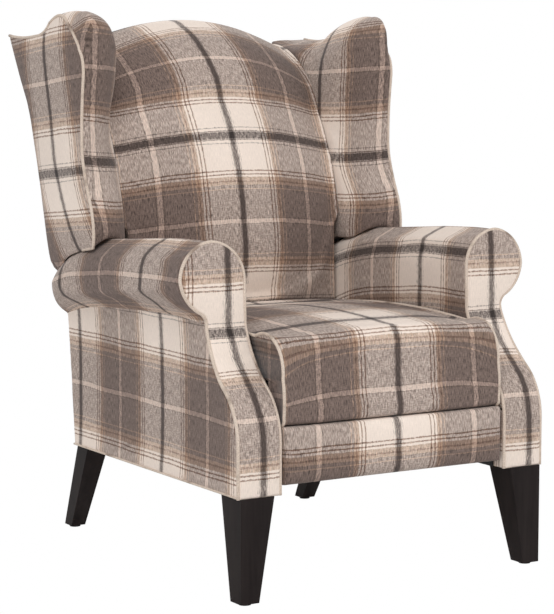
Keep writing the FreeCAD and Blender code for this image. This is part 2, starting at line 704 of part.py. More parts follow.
def foot_wire(depth, inset, top_drop):
    def place(p):
        return at(p[0], depth, p[1])
    half = FOOT_HALF - inset
    low = FOOT_Z[0] + inset
    high = FOOT_Z[1] - top_drop
    middle_z = (low + high) / 2
    bow = 1.0
    return outline(place, (-half, low), [
        ((0.0, low - bow + inset / 3), (half, low)),
        ((half + bow / 2 - inset / 4, middle_z), (half, high)),
        ((0.0, high + bow / 2 - top_drop / 6), (-half, high)),
        ((-half - bow / 2 + inset / 4, middle_z), (-half, low)),
    ])


foot_stations = [(FOOT_BOARD[0], 1.0, 18.0), (24.0, 0.0, 10.0), (6.0, 1.0, 2.5), (FOOT_FRONT, 9.0, 9.0)]
foot_pad = Part.makeLoft([foot_wire(*s) for s in foot_stations], True, False)

save_pair("footrest_arm", foot_arm)
save("footrest_board", foot_board)
save("footrest_pad", foot_pad)
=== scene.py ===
import json
import math
from collections import namedtuple

import bpy
import numpy as np
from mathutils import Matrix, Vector
from mathutils.geometry import tessellate_polygon


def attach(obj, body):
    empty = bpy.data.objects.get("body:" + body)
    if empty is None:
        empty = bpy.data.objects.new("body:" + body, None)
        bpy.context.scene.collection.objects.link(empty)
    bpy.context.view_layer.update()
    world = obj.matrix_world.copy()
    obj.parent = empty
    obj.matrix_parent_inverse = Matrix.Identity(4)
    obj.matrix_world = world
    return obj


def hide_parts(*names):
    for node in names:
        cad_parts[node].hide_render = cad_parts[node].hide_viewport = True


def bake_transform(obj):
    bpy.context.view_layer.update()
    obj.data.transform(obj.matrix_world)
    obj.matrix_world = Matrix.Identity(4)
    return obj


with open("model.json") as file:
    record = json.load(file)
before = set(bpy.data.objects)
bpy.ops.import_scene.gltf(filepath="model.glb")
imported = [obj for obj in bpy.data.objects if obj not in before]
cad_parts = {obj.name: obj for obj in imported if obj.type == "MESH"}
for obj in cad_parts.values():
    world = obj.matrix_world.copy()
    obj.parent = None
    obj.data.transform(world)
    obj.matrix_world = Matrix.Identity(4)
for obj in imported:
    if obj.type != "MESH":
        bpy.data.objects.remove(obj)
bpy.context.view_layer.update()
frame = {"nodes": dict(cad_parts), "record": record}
nodes = frame["nodes"]
scene = bpy.context.scene
scene.view_settings.view_transform = "Standard"

# Shapes are in mm: x across, depth back from the front legs' front face, z up from the floor
MM = 0.001
FRONT_Y = -443.0
LEG_TOP = 190.0
NAME = {-1: "left", 1: "right"}


# Curves in millimetres

def arc(a, b, c, n):
    """n points after a on the circle through a, b and c."""
    a, b, c = (np.asarray(p, float) for p in (a, b, c))
    det = 2 * (a[0] * (b[1] - c[1]) + b[0] * (c[1] - a[1]) + c[0] * (a[1] - b[1]))
    if abs(det) < 1e-3:
        return line(a, c, n)
    aa, bb, cc = a @ a, b @ b, c @ c
    centre = np.array([
        (aa * (b[1] - c[1]) + bb * (c[1] - a[1]) + cc * (a[1] - b[1])) / det,
        (aa * (c[0] - b[0]) + bb * (a[0] - c[0]) + cc * (b[0] - a[0])) / det,
    ])
    turn = [math.atan2(*(p - centre)[::-1]) for p in (a, b, c)]
    whole = (turn[2] - turn[0]) % (2 * math.pi)
    if (turn[1] - turn[0]) % (2 * math.pi) > whole:
        whole -= 2 * math.pi
    t = turn[0] + whole * np.linspace(0, 1, n + 1)[1:]
    return centre + np.hypot(*(a - centre)) * np.stack([np.cos(t), np.sin(t)], 1)


def line(a, b, n):
    t = np.linspace(0, 1, n + 1)[1:, None]
    return np.asarray(a, float) * (1 - t) + np.asarray(b, float) * t


def path(start, *steps):
    """Points along lines (end, n) and arcs (via, end, n)."""
    points = [np.asarray([start], float)]
    for step in steps:
        last = points[-1][-1]
        points.append(line(last, *step) if len(step) == 2 else arc(last, *step))
    return np.concatenate(points)


def lengths(points):
    return np.concatenate([[0], np.cumsum(np.linalg.norm(np.diff(points, axis=0), axis=1))])


def smooth(a, b, x):
    t = np.clip((np.asarray(x, float) - a) / (b - a), 0, 1)
    return t * t * (3 - 2 * t)


def eased(x, xs, ys):
    """Smooth curve through the points xs, ys that keeps their ups and downs."""
    xs, ys = np.asarray(xs, float), np.asarray(ys, float)
    h = np.diff(xs)
    slope = np.diff(ys) / h
    m = np.zeros(len(xs))
    m[0], m[-1] = slope[0], slope[-1]
    for i in range(1, len(xs) - 1):
        if slope[i - 1] * slope[i] > 0:
            m[i] = 2 * slope[i - 1] * slope[i] / (slope[i - 1] + slope[i])
    x = np.clip(np.asarray(x, float), xs[0], xs[-1])
    i = np.clip(np.searchsorted(xs, x) - 1, 0, len(h) - 1)
    t = (x - xs[i]) / h[i]
    return (ys[i] * (1 + 2 * t) * (1 - t) ** 2 + m[i] * h[i] * t * (1 - t) ** 2
            + ys[i + 1] * t * t * (3 - 2 * t) + m[i + 1] * h[i] * t * t * (t - 1))


def crowded(count, bend):
    """Numbers from -1 to 1 that lie closer together towards the ends."""
    return np.sin(np.linspace(-1, 1, count) * bend) / math.sin(bend)


def rounded(edge, radius):
    """How far a face falls back within radius of its edge."""
    e = np.clip(radius - edge, 0, radius)
    return radius - np.sqrt(np.maximum(radius ** 2 - e ** 2, 0))


def grid(*values):
    """Points whose coordinates are arrays, spread to one shape."""
    return np.stack(np.broadcast_arrays(*values), -1)


# Meshes with fabric lengths as UVs

def placed(points, side):
    """Points in the frame's metres, mirrored to the chair's left where side is -1."""
    p = np.asarray(points, float)
    return np.stack([p[:, 0] * side, p[:, 1] + FRONT_Y, p[:, 2]], 1) * MM


def new_object(name, points, faces, uvs):
    """A smooth object from points and UVs in metres."""
    me = bpy.data.meshes.new(name)
    me.from_pydata([tuple(q) for q in points], [], faces)
    me.uv_layers.new(name="fabric").data.foreach_set("uv", np.array(uvs, np.float32).ravel())
    me.polygons.foreach_set("use_smooth", np.ones(len(faces), bool))
    me.update()
    ob = bpy.data.objects.new(name, me)
    scene.collection.objects.link(ob)
    return ob


class Panel:
    """Collects points, how firmly each is held, faces and a UV in mm for each face corner."""

    def __init__(self):
        self.points, self.faces, self.uvs, self.held = [], [], [], []

    def add(self, xyz, held):
        flat = xyz.reshape(-1, 3)
        first = len(self.points)
        self.points += [tuple(p) for p in flat]
        self.held += list(held.reshape(-1))
        return first + np.arange(len(flat)).reshape(xyz.shape[:-1])

    def face(self, corners, uv):
        self.faces.append([int(c) for c in corners])
        self.uvs += [tuple(q) for q in uv]

    def quads(self, ids, uv):
        """Quads over a grid of point numbers, with a UV for each."""
        for i in range(ids.shape[0] - 1):
            for j in range(ids.shape[1] - 1):
                c = [(i, j), (i, j + 1), (i + 1, j + 1), (i + 1, j)]
                self.face([ids[k] for k in c], [uv[k] for k in c])

    def cap(self, ids, flat, uv, flip):
        """Fills a loop of points; flat gives them in two coordinates."""
        for tri in tessellate_polygon([[Vector((p[0], p[1], 0)) for p in flat]]):
            tri = tri[::-1] if flip else tri
            self.face([ids[k] for k in tri], [uv[k] for k in tri])

    def loft(self, xyz, held, uv, under, end_uv):
        """A row of closed side views, both ends filled; under is the length of the closing strip."""
        ids = self.add(xyz, held)
        ids = np.concatenate([ids, ids[:, :1]], 1)
        self.quads(ids, np.concatenate([uv, uv[:, -1:] + [0, under]], 1))
        for k, flip in ((0, False), (-1, True)):
            view = xyz[k][:, 1:]
            self.cap(ids[k, :-1], view, view + end_uv, flip)

    def mesh(self, name, side=1):
        faces, uvs, at = [], [], 0
        for f in self.faces:
            corner = self.uvs[at:at + len(f)]
            at += len(f)
            faces.append(f if side > 0 else f[::-1])
            uvs += corner if side > 0 else corner[::-1]
        return new_object(name, placed(self.points, side), faces, np.array(uvs) * MM)


def slab(front, back, uv):
    """A closed pad from a front grid and a back grid of points, joined round the rim."""
    p = Panel()
    r, c = front.shape[:2]
    held = np.zeros((r, c))
    held[[0, -1]] = 1
    held[:, [0, -1]] = 1
    f = p.add(front, held)
    b = p.add(back, np.ones((r, c)))
    p.quads(f, uv)
    p.quads(b[:, ::-1], uv[:, ::-1])
    ring = [(0, j) for j in range(c)] + [(i, c - 1) for i in range(1, r)]
    ring += [(r - 1, j) for j in range(c - 2, -1, -1)] + [(i, 0) for i in range(r - 2, 0, -1)]
    deep = np.linalg.norm(front - back, axis=-1)

    def turned(k):
        """The UV at the back of the rim, past that of its front by the pad's depth."""
        if k[0] in (0, r - 1):
            return uv[k] + np.array([0.0, deep[k] * (1 if k[0] else -1)])
        return uv[k] + np.array([deep[k] * (1 if k[1] else -1), 0.0])

    for a, q in zip(ring, ring[1:] + ring[:1]):
        p.face([b[a], b[q], f[q], f[a]], [turned(a), turned(q), uv[q], uv[a]])
    return p


def points_of(mesh):
    co = np.zeros(len(mesh.vertices) * 3)
    mesh.vertices.foreach_get("co", co)
    return co.reshape(-1, 3)


PUFF_FRAMES = 20


def puff(ob, held, pressure, cap):
    """Blows the cover up as cloth; held points stay, and no point moves more than cap metres."""
    rest = points_of(ob.data)
    group = ob.vertex_groups.new(name="held")
    held = np.round(held, 2)
    for w in sorted(set(held)):
        if w > 0:
            group.add([int(i) for i in np.nonzero(held == w)[0]], float(w), "REPLACE")
    cloth = ob.modifiers.new("cloth", "CLOTH")
    s = cloth.settings
    s.quality = 6
    s.mass = 0.3
    s.tension_stiffness = s.compression_stiffness = 25
    s.shear_stiffness = 12
    s.bending_stiffness = 4
    s.use_pressure = True
    s.uniform_pressure_force = pressure
    s.vertex_group_mass = "held"
    s.effector_weights.gravity = 0
    cloth.collision_settings.use_collision = False
    cloth.point_cache.frame_start = 1
    cloth.point_cache.frame_end = PUFF_FRAMES
    for f in range(1, PUFF_FRAMES + 1):
        scene.frame_set(f)
    move = points_of(ob.evaluated_get(bpy.context.evaluated_depsgraph_get()).to_mesh()) - rest
    ob.modifiers.remove(cloth)
    scene.frame_set(1)
    far = np.linalg.norm(move, axis=1, keepdims=True)
    move *= cap * np.tanh(far / cap) / np.maximum(far, 1e-9)
    print("puff", ob.name, "moved up to", round(float(np.linalg.norm(move, axis=1).max()) / MM, 1), "mm")
    ob.data.vertices.foreach_set("co", (rest + move).ravel().astype(np.float32))
    ob.data.update()
    ob.vertex_groups.clear()


def finish_soft(ob, body, node):
    """Rounds a cover off, dresses it and puts it in the place of its CAD node."""
    sub = ob.modifiers.new("smooth", "SUBSURF")
    sub.levels = sub.render_levels = 1
    sub.uv_smooth = "PRESERVE_BOUNDARIES"
    ob.data.materials.append(CHECK)
    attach(ob, body)
    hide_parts(node)


PIPING = 3.0
HEM = 2.1
WELT_SIDES = 10
WELT_GIRTH = 0.02


def tube(name, points, radius, body, side):
    """A round welt along points."""
    p = placed(points, side)
    p = p[np.concatenate([[True], np.linalg.norm(np.diff(p, axis=0), axis=1) > 1e-5])]
    n = len(p)
    ahead = np.gradient(p, axis=0)
    ahead /= np.linalg.norm(ahead, axis=1, keepdims=True)
    up = np.cross(ahead[0], [0.31, 0.52, 0.79])
    turn = np.linspace(0, 2 * math.pi, WELT_SIDES, endpoint=False)[:, None]
    rows = []
    for i in range(n):
        up = up - ahead[i] * (up @ ahead[i])
        up /= np.linalg.norm(up)
        across = np.cross(ahead[i], up)
        rows.append(p[i] + radius * MM * (np.cos(turn) * up + np.sin(turn) * across))
    along = lengths(p)
    ids = np.arange(n * WELT_SIDES).reshape(n, WELT_SIDES)
    faces, uvs = [], []
    for i in range(n - 1):
        for j in range(WELT_SIDES):
            k = (j + 1) % WELT_SIDES
            faces.append([int(q) for q in (ids[i, j], ids[i, k], ids[i + 1, k], ids[i + 1, j])])
            a, b = j / WELT_SIDES * WELT_GIRTH, (j + 1) / WELT_SIDES * WELT_GIRTH
            uvs += [(along[i], a), (along[i], b), (along[i + 1], b), (along[i + 1], a)]
    for end, at in ((ids[0][::-1], 0), (ids[-1], along[-1])):
        faces.append([int(q) for q in end])
        uvs += [(at, 0)] * WELT_SIDES
    ob = new_object(name, np.concatenate(rows), faces, uvs)
    ob.data.materials.append(WELT)
    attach(ob, body)


# Materials

def linear(r, g, b):
    """A screen colour as the shader's linear one."""
    def one(c):
        c /= 255.0
        return c / 12.92 if c <= 0.04045 else ((c + 0.055) / 1.055) ** 2.4
    return (one(r), one(g), one(b), 1.0)


def thread(rgb):
    """A colour as its fourth root, so that crossing threads mix as the eye sees them."""
    c = linear(*rgb)
    return tuple(v ** 0.25 for v in c[:3]) + (1.0,)


class Nodes:
    """A material and short ways to add nodes to it."""

    def __init__(self, name):
        self.material = bpy.data.materials.new(name)
        self.material.use_nodes = True
        self.tree = self.material.node_tree
        self.shader = self.tree.nodes["Principled BSDF"]

    def node(self, kind, **values):
        made = self.tree.nodes.new(kind)
        for k, v in values.items():
            setattr(made, k, v)
        return made

    def link(self, a, b):
        self.tree.links.new(a, b)

    def math(self, operation, a, b):
        made = self.node("ShaderNodeMath", operation=operation)
        for socket, value in zip(made.inputs, (a, b)):
            if isinstance(value, (int, float)):
                socket.default_value = value
            else:
                self.link(value, socket)
        return made.outputs[0]

    def noise(self, vector, scale, detail=2.0, rough=0.5):
        made = self.node("ShaderNodeTexNoise")
        made.inputs["Scale"].default_value = scale
        made.inputs["Detail"].default_value = detail
        made.inputs["Roughness"].default_value = rough
        self.link(vector, made.inputs["Vector"])
        return made.outputs["Fac"]

    def stretched(self, vector, x, y, z=1.0):
        made = self.node("ShaderNodeVectorMath", operation="MULTIPLY")
        self.link(vector, made.inputs[0])
        made.inputs[1].default_value = (x, y, z)
        return made.outputs[0]

    def ramp(self, factor, stops, interpolation="LINEAR"):
        made = self.node("ShaderNodeValToRGB")
        made.color_ramp.interpolation = interpolation
        e = made.color_ramp.elements
        while len(e) < len(stops):
            e.new(1.0)
        for i, (at, colour) in enumerate(stops):
            e[i].position = at
        for i, (at, colour) in enumerate(stops):
            e[i].color = colour
        self.link(factor, made.inputs[0])
        return made.outputs[0]

    def mix(self, factor, a, b, blend="MIX"):
        made = self.node("ShaderNodeMix", data_type="RGBA", blend_type=blend)
        for socket, value in ((made.inputs[0], factor), (made.inputs[6], a), (made.inputs[7], b)):
            if isinstance(value, (int, float, tuple)):
                socket.default_value = value
            else:
                self.link(value, socket)
        return made.outputs[2]

    def bump(self, height, strength, distance):
        made = self.node("ShaderNodeBump")
        made.inputs["Strength"].default_value = strength
        made.inputs["Distance"].default_value = distance
        self.link(height, made.inputs["Height"])
        self.link(made.outputs[0], self.shader.inputs["Normal"])


CREAM = (237, 222, 210)
PALE = (184, 160, 147)
TAN = (168, 139, 118)
BROWN = (118, 90, 75)
TAUPE = (114, 98, 91)
DEEP = (93, 79, 72)
CHARCOAL = (55, 48, 46)
GREY = (150, 139, 132)

# Sett from the middle of the dark stripe outwards: where each colour starts
WARP_HALF = 170.0
WARP = [(0, CHARCOAL), (4, DEEP), (5, GREY), (7.5, CREAM), (10, GREY), (11, CREAM), (70, BROWN), (73, CREAM),
        (78, BROWN), (81, CREAM), (85, TAN), (89, BROWN), (92, TAN), (96, TAUPE), (101, TAN), (103, TAUPE),
        (161, DEEP), (164.5, PALE)]
WEFT_HALF = 180.0
WEFT = [(0, CHARCOAL), (7, GREY), (9, DEEP), (10.5, CREAM), (16, GREY), (18, CREAM), (74, BROWN), (77, CREAM),
        (82, BROWN), (85, CREAM), (89, TAN), (97, BROWN), (100, TAN), (106, TAUPE), (113, TAN), (115, TAUPE),
        (173, DEEP), (175.5, PALE)]
# How far yarns wander and stripes' edges feather, in metres, and how strongly each brightness is flecked
YARN_WANDER = 0.006
YARN_FEATHER = 0.0045
FLECKS = ((0.02, 0.5), (0.12, 1), (0.35, 0.75), (0.7, 0.12))


def check_fabric(name):
    """The check: warp and weft in their setts, floats of both, flecks and a soft nap."""
    m = Nodes(name)
    uv = m.node("ShaderNodeUVMap", uv_map="fabric").outputs[0]
    apart = m.node("ShaderNodeSeparateXYZ")
    m.link(uv, apart.inputs[0])

    def grain(warp_way, weft_way):
        """Yarn noise about zero, with its scale along each way of the cloth."""
        return m.math("SUBTRACT", m.noise(m.stretched(uv, warp_way, weft_way), 1.0, 2.0, 0.6), 0.5)

    # Short floats along the warp and across it, and slubs in the yarn
    floats = grain(620.0, 95.0)
    cross = grain(135.0, 520.0)
    slubs = grain(705.0, 88.0)
    # Yarns wander a little, so the stripes' edges are feathered
    drift = m.math("MULTIPLY", m.math("SUBTRACT", m.noise(uv, 9.0, 1.0), 0.5), YARN_WANDER)
    yarns = []
    for axis, half, sett, own in ((0, WARP_HALF, WARP, floats), (1, WEFT_HALF, WEFT, cross)):
        feather = m.math("MULTIPLY", own, YARN_FEATHER)
        at = m.math("ADD", m.math("ADD", apart.outputs[axis], drift), feather)
        place = m.math("DIVIDE", m.math("PINGPONG", at, half * MM), half * MM)
        yarns.append(m.ramp(place, [(d / half, thread(c)) for d, c in sett], "CONSTANT"))
    # Warp and weft show in turn
    turns = m.math("SUBTRACT", m.math("MULTIPLY", floats, 1.25), m.math("MULTIPLY", cross, 0.6))
    share = m.node("ShaderNodeClamp")
    share.inputs["Min"].default_value = 0.05
    share.inputs["Max"].default_value = 0.95
    m.link(m.math("ADD", turns, 0.5), share.inputs[0])
    cloth = m.mix(share.outputs[0], yarns[0], yarns[1])
    # Back from fourth roots
    for turn in range(2):
        squared = m.node("ShaderNodeVectorMath", operation="MULTIPLY")
        m.link(cloth, squared.inputs[0])
        m.link(cloth, squared.inputs[1])
        cloth = squared.outputs[0]
    # Dark yarns are flecked, cream ones nearly plain; tone varies a little over the cloth
    grey = m.node("ShaderNodeRGBToBW")
    m.link(cloth, grey.inputs[0])
    fleck = m.ramp(grey.outputs[0], [(at, (much, much, much, 1)) for at, much in FLECKS])
    both = m.math("ADD", m.math("MULTIPLY", slubs, 3.0), m.math("MULTIPLY", cross, 0.8))
    gain = m.math("ADD", m.math("MULTIPLY", both, fleck), 1.0)
    tone = m.ramp(m.noise(uv, 5.0, 3.0), [(0.3, (0.94, 0.935, 0.93, 1)), (0.7, (1.04, 1.04, 1.04, 1))])
    scaled = m.node("ShaderNodeVectorMath", operation="SCALE")
    m.link(m.mix(1.0, cloth, tone, "MULTIPLY"), scaled.inputs[0])
    m.link(gain, scaled.inputs["Scale"])
    m.link(scaled.outputs[0], m.shader.inputs["Base Color"])
    m.link(m.math("ADD", m.math("MULTIPLY", floats, 0.2), 0.86), m.shader.inputs["Roughness"])
    m.shader.inputs["Specular IOR Level"].default_value = 0.2
    m.shader.inputs["Sheen Weight"].default_value = 0.12
    m.shader.inputs["Sheen Roughness"].default_value = 0.5
    m.bump(m.math("ADD", floats, m.math("MULTIPLY", cross, 0.8)), 0.35, 0.0009)
    return m.material


def welt_fabric(name):
    """Cream piping cloth, darker here and there along its length."""
    m = Nodes(name)
    uv = m.node("ShaderNodeUVMap", uv_map="fabric").outputs[0]
    long_way = m.noise(m.stretched(uv, 13.0, 0.0), 1.0, 2.0, 0.55)
    base = m.ramp(long_way, [(0.0, linear(120, 104, 95)), (0.36, linear(150, 132, 120)),
                             (0.45, linear(216, 199, 184)), (1.0, linear(232, 218, 205))])
    yarn = m.noise(m.stretched(uv, 520.0, 420.0), 1.0, 2.0)
    tint = m.ramp(yarn, [(0.3, (0.74, 0.72, 0.7, 1)), (0.65, (1.05, 1.05, 1.05, 1))])
    m.link(m.mix(1.0, base, tint, "MULTIPLY"), m.shader.inputs["Base Color"])
    m.link(m.math("ADD", 0.75, m.math("MULTIPLY", yarn, 0.2)), m.shader.inputs["Roughness"])
    m.shader.inputs["Specular IOR Level"].default_value = 0.2
    m.shader.inputs["Sheen Weight"].default_value = 0.1
    m.bump(yarn, 0.4, 0.0008)
    return m.material


def surface(name, dark, light, scale, rough, depth=0.0002, bump=0.1, metal=0.0, stretch=(1, 1, 1), shine=0.5):
    """Two tones along a stretched grain, with gloss and relief from the same grain."""
    m = Nodes(name)
    at = m.node("ShaderNodeTexCoord").outputs["Object"]
    grain = m.noise(m.stretched(at, *stretch), scale, 5.0, 0.6)
    worn = m.noise(at, scale * 0.15, 3.0)
    base = m.ramp(grain, [(0.3, linear(*dark)), (0.7, linear(*light))])
    wear = m.ramp(worn, [(0.35, (0.9, 0.9, 0.9, 1)), (0.7, (1.08, 1.07, 1.06, 1))])
    m.link(m.mix(1.0, base, wear, "MULTIPLY"), m.shader.inputs["Base Color"])
    gloss = m.math("ADD", rough[0], m.math("MULTIPLY", grain, rough[1] - rough[0]))
    m.link(gloss, m.shader.inputs["Roughness"])
    m.shader.inputs["Metallic"].default_value = metal
    m.shader.inputs["Specular IOR Level"].default_value = shine
    m.bump(grain, bump, depth)
    return m.material


CHECK = check_fabric("check_cloth")
WELT = welt_fabric("welt_cloth")
FINISH = {
    "leg_wood": surface("stained_leg", (32, 27, 27), (46, 40, 39), 60.0, (0.36, 0.5), 0.0004, 0.12,
                        stretch=(1, 1, 0.08), shine=0.07),
    "frame_wood": surface("frame_timber", (160, 124, 86), (190, 154, 110), 40.0, (0.55, 0.75), 0.0006, 0.2,
                          stretch=(1, 0.1, 1)),
    "black_steel": surface("painted_steel", (22, 22, 23), (34, 34, 35), 300.0, (0.38, 0.55), bump=0.15,
                           metal=0.3),
    "zinc_steel": surface("plated_steel", (150, 150, 148), (186, 186, 182), 160.0, (0.25, 0.42), metal=0.9),
    "spring_wire": surface("spring_steel", (70, 68, 66), (104, 101, 98), 200.0, (0.3, 0.5), metal=0.85),
    "glide_plastic": surface("glide_nylon", (40, 40, 42), (58, 58, 60), 220.0, (0.45, 0.6)),
    "slide_plastic": surface("slide_nylon", (196, 194, 186), (222, 220, 212), 220.0, (0.4, 0.55)),
}
LEG_EASED = 0.003
slot_of = {row["node"]: row["material_slot"] for row in frame["record"]["subparts"]}
for node, ob in nodes.items():
    slot = slot_of.get(node)
    if slot in FINISH:
        ob.data.materials.clear()
        ob.data.materials.append(FINISH[slot])
    if slot == "leg_wood":
        bevel = ob.modifiers.new("eased", "BEVEL")
        bevel.width = LEG_EASED
        bevel.segments = 3
        bevel.limit_method = "ANGLE"


# Seat cushion

SEAT_HALF = 235.0
SEAT_FRONT = 2.0
SEAT_LIP = 60.0
SEAT_REAR = 576.0
SEAT_UNDER = 388.0
SEAT_CROWN = 19.0
SEAT_DARK_X = 8.0
SEAT_PALE_Z = 361.0
SEAT_EASE = 0.9
# Points of a side view: its visible edge, the rising front, and those between which the cover is free
SEAT_EDGE = slice(5, 73)
SEAT_RISE = slice(5, 25)
SEAT_FREE = (9, 73)


def seat_section(k):
    """Side view at a share k of the half width: lip, front, roll, top, rear and under side."""
    crown = SEAT_CROWN * (1 - k ** 3.4)
    front = SEAT_FRONT + 7 * k ** 5.9
    corner = k ** 4
    nose = (front + 2, 424 + crown / 2 - 30 * corner)
    roll = (front + 46 + 50 * corner, 463 + crown - 3 * corner)
    return path(
        (SEAT_LIP, 316), ((front + 8, 310), 5), ((front, 315), (front - 1, 326), 4),
        ((front - 2, 366), nose, 16),
        ((front + 12 + 3 * corner, 451 + crown - 8 * corner), roll, 14),
        ((300, 470 + 1.1 * crown), (552, 457 + crown / 2), 34),
        ((SEAT_REAR, 440), 3), ((SEAT_REAR, SEAT_UNDER), 4), ((SEAT_LIP, SEAT_UNDER), 16))


def seat():
    xs = crowded(49, 1.25) * SEAT_HALF
    views = np.stack([seat_section(abs(x) / SEAT_HALF) for x in xs])
    number = np.arange(views.shape[1])
    first, last = SEAT_FREE
    held = np.tile(np.where((number > first) & (number < last), 0.0, 1.0), (len(xs), 1))
    held[:, [first + 1, first + 2, last - 2, last - 1]] = 0.6
    held[[0, -1]] = 1
    middle = views[len(xs) // 2]
    along = lengths(middle)
    pale = np.interp(SEAT_PALE_Z, middle[SEAT_RISE, 1], along[SEAT_RISE])
    uv = grid((xs - SEAT_DARK_X)[:, None], (along - pale) * SEAT_EASE + WEFT_HALF)
    p = Panel()
    p.loft(grid(xs[:, None], views[..., 0], views[..., 1]), held, uv, 70, (112, WEFT_HALF - SEAT_PALE_Z))
    ob = p.mesh("seat_upholstery")
    puff(ob, p.held, 4.0, 0.009)
    finish_soft(ob, "seat", "seat_cushion")
    edge = views[-1][SEAT_EDGE]
    for side in NAME:
        welt = grid(SEAT_HALF - 0.5, edge[:, 0] + 0.5, edge[:, 1] - 0.5)
        tube(f"piping_seat_{NAME[side]}", welt, PIPING, "seat", side)


seat()


# Footrest pad

FOOT_HALF = 238.0
FOOT_MIDDLE = 257.0
FOOT_RISE = 52.0
FOOT_FRONT = -3.0
FOOT_REAR = 45.5
FOOT_DARK_Z = 345.0


def footrest():
    xs = crowded(41, 1.35) * FOOT_HALF
    zs = FOOT_MIDDLE + crowded(23, 1.4) * FOOT_RISE
    low, high = FOOT_MIDDLE - FOOT_RISE, FOOT_MIDDLE + FOOT_RISE
    x, z = np.meshgrid(xs, zs)
    edge = np.minimum(FOOT_HALF - np.abs(x), z - low)
    d = FOOT_FRONT + rounded(edge, 13.0) + rounded(high - z, 7.0)
    rear_z = 206 + (z - low) / (high - low) * 101
    p = slab(grid(x, d, z), grid(x, FOOT_REAR, rear_z), grid(x + 1, z - FOOT_DARK_Z))
    ob = p.mesh("footrest_upholstery")
    puff(ob, p.held, 3.0, 0.005)
    finish_soft(ob, "footrest", "footrest_pad")


footrest()


# Back cushion

LEAN = math.radians(20.5)
BACK_FOOT = (600.0, 420.0)
BACK_TOP = 563.0
BACK_FACE = -18.0
BACK_HALF = 253.0
BACK_LOWER_HALF = 240.0
BACK_DARK_X = -8.0
BACK_DARK_Z = 807.0
# Points of a side view: the rising front, and those between which the cover is free
BACK_RISE = slice(5, 60)
BACK_FREE = (5, 80)


def on_back(up, rear):
    """Depth and height of a place so far up the leaning frame and so far behind its middle."""
    return (BACK_FOOT[0] + up * math.sin(LEAN) + rear * math.cos(LEAN),
            BACK_FOOT[1] + up * math.cos(LEAN) - rear * math.sin(LEAN))


def back_section(k):
    """Side view at a share k of the half width: foot, front, roll over the top, rear and under side."""
    full = 1 - k * k

    def mix(edge, mid):
        return (edge[0] + full * (mid[0] - edge[0]), edge[1] + full * (mid[1] - edge[1]))

    return path(
        on_back(30, BACK_FACE), (mix((580, 450), (556, 459)), 3), (mix((582, 466), (542, 476)), 2),
        (mix((583, 520), (520, 540)), mix((587, 620), (526, 640)), 17),
        (mix((612, 735), (556, 770)), mix((668, 848), (618, 880)), 24),
        (mix((701, 912), (662, 980)), mix((752, 957), (742, 1034)), 18),
        (mix((808, 985), (806, 1046)), mix((862, 992), (868, 1012)), 14),
        (mix((868, 976), (884, 980)), 3), (on_back(BACK_TOP, 66), 4), (on_back(BACK_TOP, BACK_FACE), 6),
        (on_back(60, BACK_FACE), 20))


def back():
    ks = crowded(47, 1.3)
    views = np.stack([back_section(k) for k in ks])
    d, z = views[..., 0], views[..., 1]
    x = ks[:, None] * (BACK_LOWER_HALF + (BACK_HALF - BACK_LOWER_HALF) * smooth(608, 642, z))
    number = np.arange(views.shape[1])
    first, last = BACK_FREE
    held = np.tile(np.where((number > first) & (number < last), 0.0, 1.0), (len(ks), 1))
    held[[0, -1]] = 1
    middle = views[len(ks) // 2]
    along = lengths(middle)
    dark = np.interp(BACK_DARK_Z, middle[BACK_RISE, 1], along[BACK_RISE])
    uv = grid(x - BACK_DARK_X + 24 * smooth(880, 1040, z), along - dark)
    p = Panel()
    p.loft(grid(x, d, z), held, uv, 16, (-BACK_FOOT[0], -BACK_DARK_Z))
    ob = p.mesh("back_upholstery")
    puff(ob, p.held, 4.0, 0.009)
    finish_soft(ob, "back", "back_cushion")


def pull_in():
    """Cloth from the rear of the seat to the foot of the back, folded while the chair is upright."""
    fold = path((577.5, 441), ((578.0, 412), 6), ((580.8, 402), (584.0, 412), 5), ((588.5, 453.6), 9))
    x = np.linspace(-211, 211, 31)[::-1, None]
    d, z = fold.T
    p = slab(grid(x, d, z), grid(x, d + 0.6, z - 1.4), grid(x - BACK_DARK_X, lengths(fold)))
    ob = p.mesh("pull_in_cloth")
    ob.data.materials.append(CHECK)
    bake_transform(ob)


back()
pull_in()


# Sections of the arms, from under the outer side over the roll to the inner side

RAIL_TOP = 300.0
BOARD_OUT = 303.0
ARM_IN = 245.0
ARM_EDGE = 330.0
ARM_OUT = 375.0
ARM_TOP = 629.0
ARM_TOP_X = 315.0
ARM_ROLL = 562.0
ARM_UNDER = 492.0
ARM_END = 702.0
ARM_WAIST = (323.5, 484.0)
SCROLL_FOOT = (340.0, 506.0)
# By depth, how far the roll droops and how far it narrows; by height, where the arm ends at the rear
DROP = ((-30, 0), (240, 0), (430, 11), (540, 23), (605, 37), (655, 54), (686, 68), (702, 82))
INSET = ((-30, 0), (240, 0), (430, 0), (540, 0), (605, 1), (655, 5), (686, 14), (702, 26))
ARM_REAR = ((180, 656), (453, 688), (500, 703), (640, 703))
# Side view of the facings, and how far the arm's cover starts behind it
SWEEP = path((0, 150), ((0, 285), 12), ((7, 322), (40, 370), 14), ((94, 426), (121, 478), 16),
             ((126, 640), 12))
SWEEP_LONG = lengths(SWEEP)
FACE_FRONT = 6.0
# Points on each stretch of a section, and the number of the last of them
ARM_COUNT = (4, 30, 14, 16, 16, 18, 4, 6)
ARM_LAST = np.cumsum(ARM_COUNT)


def sweep(z):
    return np.interp(z, SWEEP[:, 1], SWEEP[:, 0])


def sweep_length(z):
    return np.interp(z, SWEEP[:, 1], SWEEP_LONG)


